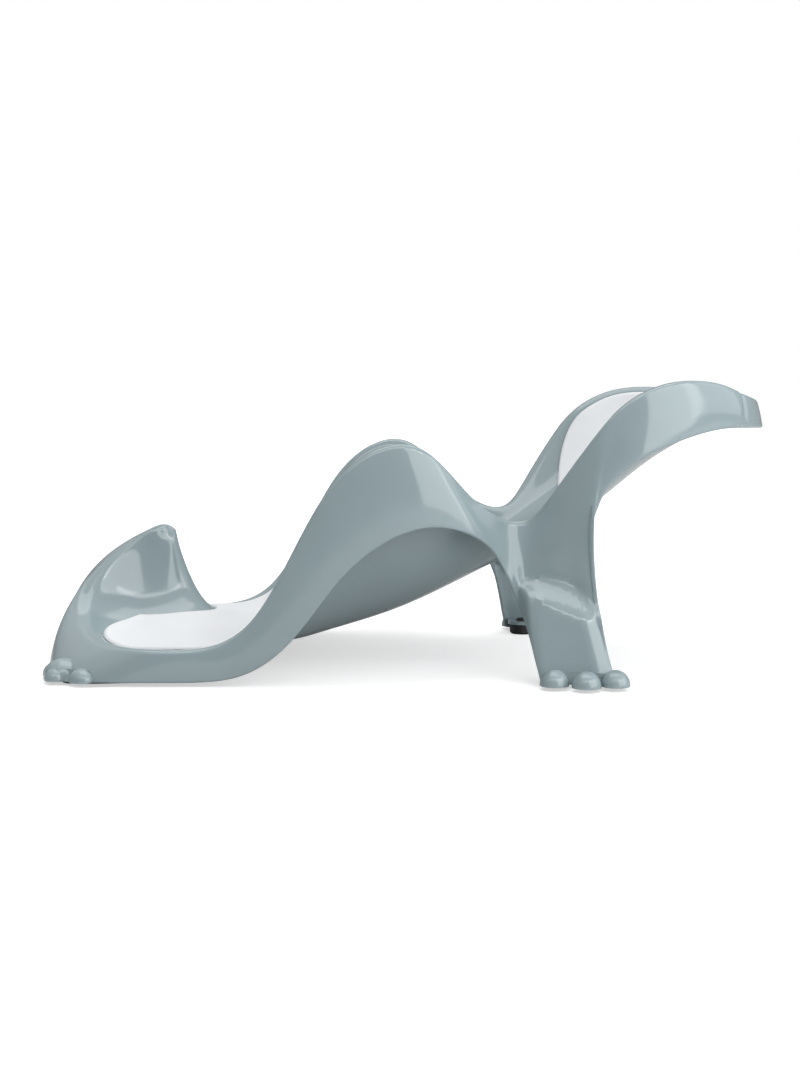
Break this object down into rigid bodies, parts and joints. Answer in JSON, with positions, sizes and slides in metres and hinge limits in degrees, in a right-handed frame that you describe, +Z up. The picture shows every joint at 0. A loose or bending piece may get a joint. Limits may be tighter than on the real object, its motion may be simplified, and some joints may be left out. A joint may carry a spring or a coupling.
{
  "type": "baby bath seat",
  "caption": "Reclining bath seat for a young baby: a moulded glossy shell with a pommel, side humps and a headrest, soft pads and rubber feet under its paws.",
  "frame": {"origin": "on the floor, at the middle of the seat's length and width", "axes": "+X towards the headrest, +Y to the baby's right-hand side as it lies, +Z up; the pommel is at the -X end"},
  "size_m": [0.5751, 0.343, 0.2249],
  "materials": {
    "shell": "glossy moulded plastic, blue grey",
    "pad": "soft matt anti-slip elastomer, white",
    "rubber": "matt black rubber"
  },
  "bodies": {
    "root": {"shell": "shell", "seat_pad": "pad", "head_pad": "pad", "foot_front_left": "rubber", "foot_front_right": "rubber", "foot_rear_left": "rubber", "foot_rear_right": "rubber"}
  },
  "joints": []
}
